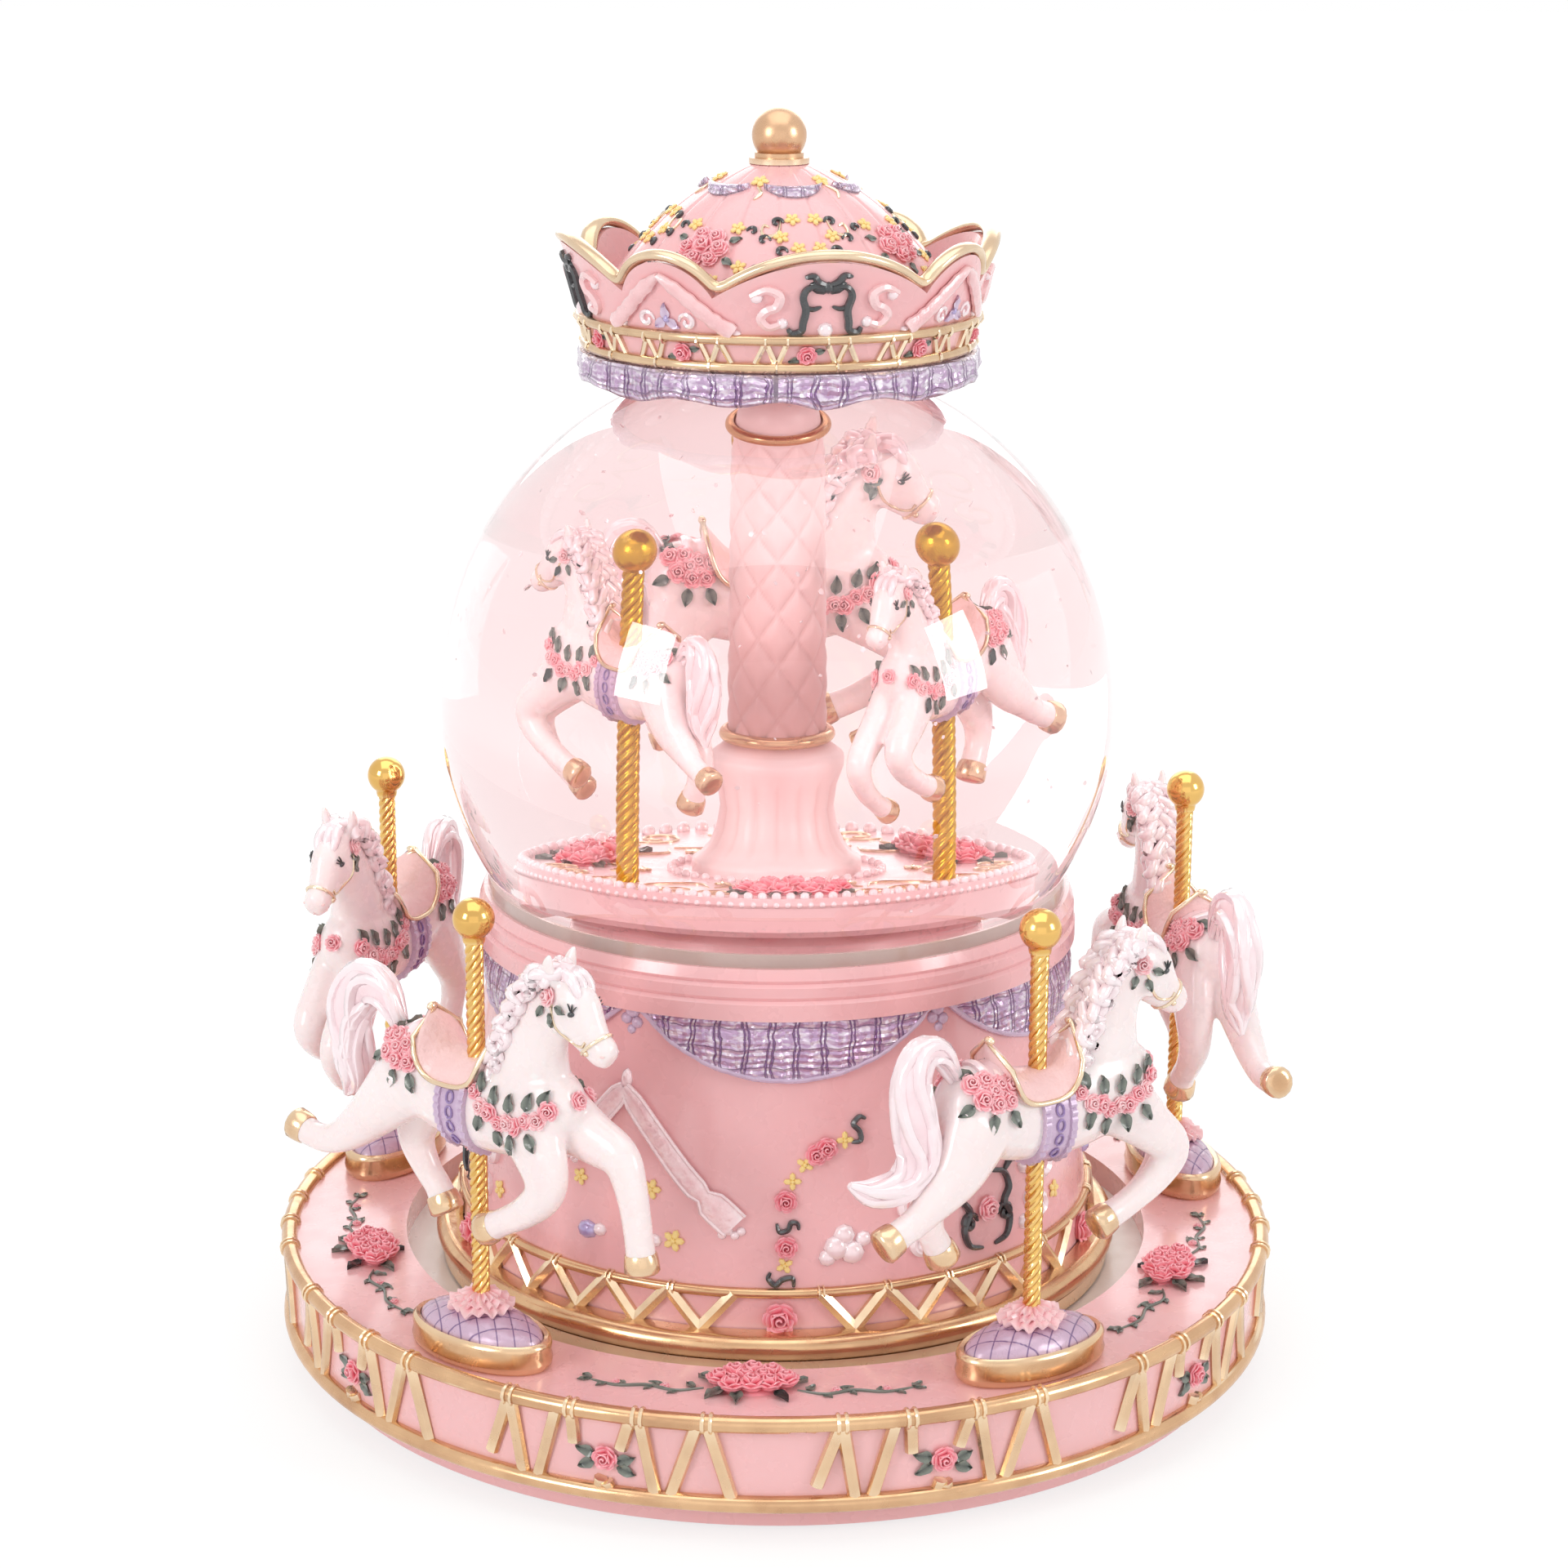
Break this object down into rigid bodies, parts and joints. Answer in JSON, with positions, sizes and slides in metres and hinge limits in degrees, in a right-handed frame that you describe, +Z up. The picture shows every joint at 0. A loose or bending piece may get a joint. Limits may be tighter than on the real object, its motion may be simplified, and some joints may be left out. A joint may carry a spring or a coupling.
{
  "type": "carousel music box",
  "caption": "Wind-up carousel music box: a water globe with a small merry-go-round and a crown on a round drum, ringed by a turning platform of galloping horses on twisted poles.",
  "frame": {"origin": "centre of the underside, on the table, under the axis that the ring turns about", "axes": "+Z up along the ring's axis; -Y is the front, where a bow stands near the middle of the crown; +X to the viewer's right"},
  "size_m": [0.1515, 0.151, 0.1856],
  "materials": {
    "pink_resin": "satin painted resin",
    "pale_pink_resin": "satin painted resin",
    "antique_gold": "antique gold paint on resin",
    "bright_gold": "polished gilt brass",
    "lilac_cloth_paint": "pearl lilac paint over a woven relief",
    "lilac_plinth": "pearl lilac quilted relief with a gold rim",
    "ivory_horse": "satin ivory painted resin",
    "clear_glass": "clear blown glass",
    "white_rubber": "moulded rubber",
    "rubber_pad": "matt rubber",
    "white_nylon": "moulded nylon",
    "brass_part": "turned and pressed brass",
    "cast_bed": "cast zinc bed, dark",
    "comb_steel": "ground spring steel",
    "spring_steel": "blued spring steel",
    "screw_steel": "plated steel",
    "key_steel": "nickel-plated steel"
  },
  "bodies": {
    "root": {"rubber_feet": "rubber_pad", "base_plate": "pink_resin", "base_screws": "screw_steel", "deck_pillars": "brass_part", "movement_deck": "brass_part", "deck_screws": "screw_steel", "idler_pin": "screw_steel", "barrel_bridge": "brass_part", "bridge_screws": "screw_steel", "cylinder_bracket": "brass_part", "comb_bed": "cast_bed", "comb": "comb_steel", "comb_screws": "screw_steel", "governor_bracket": "brass_part", "drum_shell": "pink_resin", "drum_moulding": "antique_gold", "drum_swags": "lilac_cloth_paint", "globe_stopper": "white_rubber", "glass_globe": "clear_glass", "stage": "pale_pink_resin", "column": "pale_pink_resin", "column_rings": "bright_gold", "inner_poles": "bright_gold", "inner_horse_1": "ivory_horse", "inner_horse_2": "ivory_horse", "inner_horse_3": "ivory_horse", "crown_shell": "pink_resin", "crown_frill": "lilac_cloth_paint", "crown_rails": "antique_gold", "crown_rim": "antique_gold", "crown_dome": "pink_resin", "finial": "antique_gold"},
    "outer_carousel": {"carousel_ring": "pink_resin", "ring_rails": "antique_gold", "turntable_gear": "white_nylon", "turntable_screws": "screw_steel", "plinths": "lilac_plinth", "outer_pole_1": "bright_gold", "outer_pole_2": "bright_gold", "outer_pole_3": "bright_gold", "outer_pole_4": "bright_gold", "outer_pole_5": "bright_gold", "outer_horse_1": "ivory_horse", "outer_horse_2": "ivory_horse", "outer_horse_3": "ivory_horse", "outer_horse_4": "ivory_horse", "outer_horse_5": "ivory_horse"},
    "ball_race": {"ball_cage": "white_nylon", "bearing_balls": "screw_steel"},
    "drive_idler": {"drive_idler": "white_nylon"},
    "spring_barrel": {"spring_barrel": "brass_part", "barrel_cover": "brass_part", "mainspring": "spring_steel"},
    "winding_key": {"winding_key": "key_steel", "winding_arbor": "key_steel"},
    "music_cylinder": {"music_cylinder": "brass_part"},
    "governor": {"governor_worm": "screw_steel"}
  },
  "joints": [
    {"name": "outer_carousel_spin", "type": "hinge", "parent": "root", "child": "outer_carousel", "pos_m": [0, 0, 0.017], "axis": [0, 0, 1], "continuous": true},
    {"name": "ball_race_spin", "type": "hinge", "parent": "root", "child": "ball_race", "pos_m": [0, 0, 0.009], "axis": [0, 0, 1], "continuous": true},
    {"name": "drive_idler_spin", "type": "hinge", "parent": "root", "child": "drive_idler", "pos_m": [0.034, 0, 0.012], "axis": [0, 0, 1], "continuous": true},
    {"name": "spring_barrel_spin", "type": "hinge", "parent": "root", "child": "spring_barrel", "pos_m": [0, 0, 0.02], "axis": [0, 0, 1], "continuous": true},
    {"name": "winding_key_turn", "type": "hinge", "parent": "root", "child": "winding_key", "pos_m": [0, 0, 0.005], "axis": [0, 0, 1], "continuous": true},
    {"name": "music_cylinder_spin", "type": "hinge", "parent": "root", "child": "music_cylinder", "pos_m": [0.0256, 0, 0.03598], "axis": [1, 0, 0], "continuous": true},
    {"name": "governor_spin", "type": "hinge", "parent": "root", "child": "governor", "pos_m": [0.0166, 0.0096, 0.036], "axis": [0, 0, 1], "continuous": true}
  ],
  "couplings": [
    {"joint": "ball_race_spin", "follows": "outer_carousel_spin", "ratio": 0.5},
    {"joint": "drive_idler_spin", "follows": "outer_carousel_spin", "ratio": 3.4286},
    {"joint": "spring_barrel_spin", "follows": "outer_carousel_spin", "ratio": -2.4},
    {"joint": "music_cylinder_spin", "follows": "outer_carousel_spin", "ratio": -4.8},
    {"joint": "governor_spin", "follows": "outer_carousel_spin", "ratio": 96}
  ]
}
